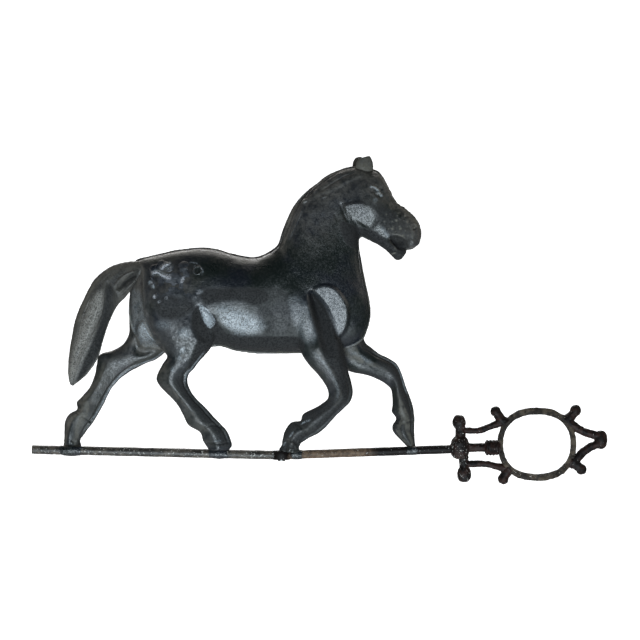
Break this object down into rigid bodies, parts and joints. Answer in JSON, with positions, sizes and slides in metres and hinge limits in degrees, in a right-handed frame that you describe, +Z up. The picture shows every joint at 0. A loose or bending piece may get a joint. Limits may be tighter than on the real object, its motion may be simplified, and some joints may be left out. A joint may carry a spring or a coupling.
{
  "type": "weathervane",
  "caption": "Hollow trotting horse on a bent round bar that turns on a hidden pivot, with an openwork scrolled arrow and an oval glazing ring.",
  "frame": {"origin": "mouth of the tapped hole in the pivot stem's foot, on the pivot's axis", "axes": "+X along the bar towards the arrow's point, +Y towards the horse's left side, +Z up along the pivot's axis"},
  "size_m": [0.6101, 0.0592, 0.3481],
  "materials": {
    "horse_paint": "worn satin black paint over sheet metal, faintly blue, with a fine pebbled grain and dusty top edges",
    "tail_paint": "duller, greyer black paint on the combed tail",
    "solder_paint": "black paint over lumpy solder and braze",
    "black_bar": "glossy black paint, pitted, over iron bar",
    "brown_bar": "bare brown rusted iron",
    "arrow_iron": "pitted, very dark brown cast iron",
    "ring_iron": "olive-brown weathered cast iron",
    "pivot_steel": "turned steel",
    "bush_bronze": "bearing bronze"
  },
  "bodies": {
    "spindle": {"swivel_stem": "pivot_steel", "thrust_ball": "pivot_steel"},
    "vane": {"pivot_bush": "bush_bronze", "rear_bar": "black_bar", "front_bar": "brown_bar", "right_body_half": "horse_paint", "left_body_half": "horse_paint", "right_front_leg": "horse_paint", "left_front_leg": "horse_paint", "right_hind_leg": "horse_paint", "left_hind_leg": "horse_paint", "tail": "tail_paint", "right_ear": "horse_paint", "left_ear": "horse_paint", "rump_patch": "solder_paint", "rump_plug": "solder_paint", "hoof_brazing": "solder_paint", "arrow_hub": "arrow_iron", "hub_pin": "arrow_iron", "centre_shaft": "arrow_iron", "ribbed_collar": "arrow_iron", "upper_scroll_arm": "arrow_iron", "lower_scroll_arm": "arrow_iron", "glazing_ring": "ring_iron", "pane_channel": "ring_iron", "arrow_tip": "arrow_iron"}
  },
  "joints": [
    {"name": "vane_swivel", "type": "hinge", "parent": "spindle", "child": "vane", "pos_m": [0, 0, 0.004], "axis": [0, 0, 1], "continuous": true}
  ]
}
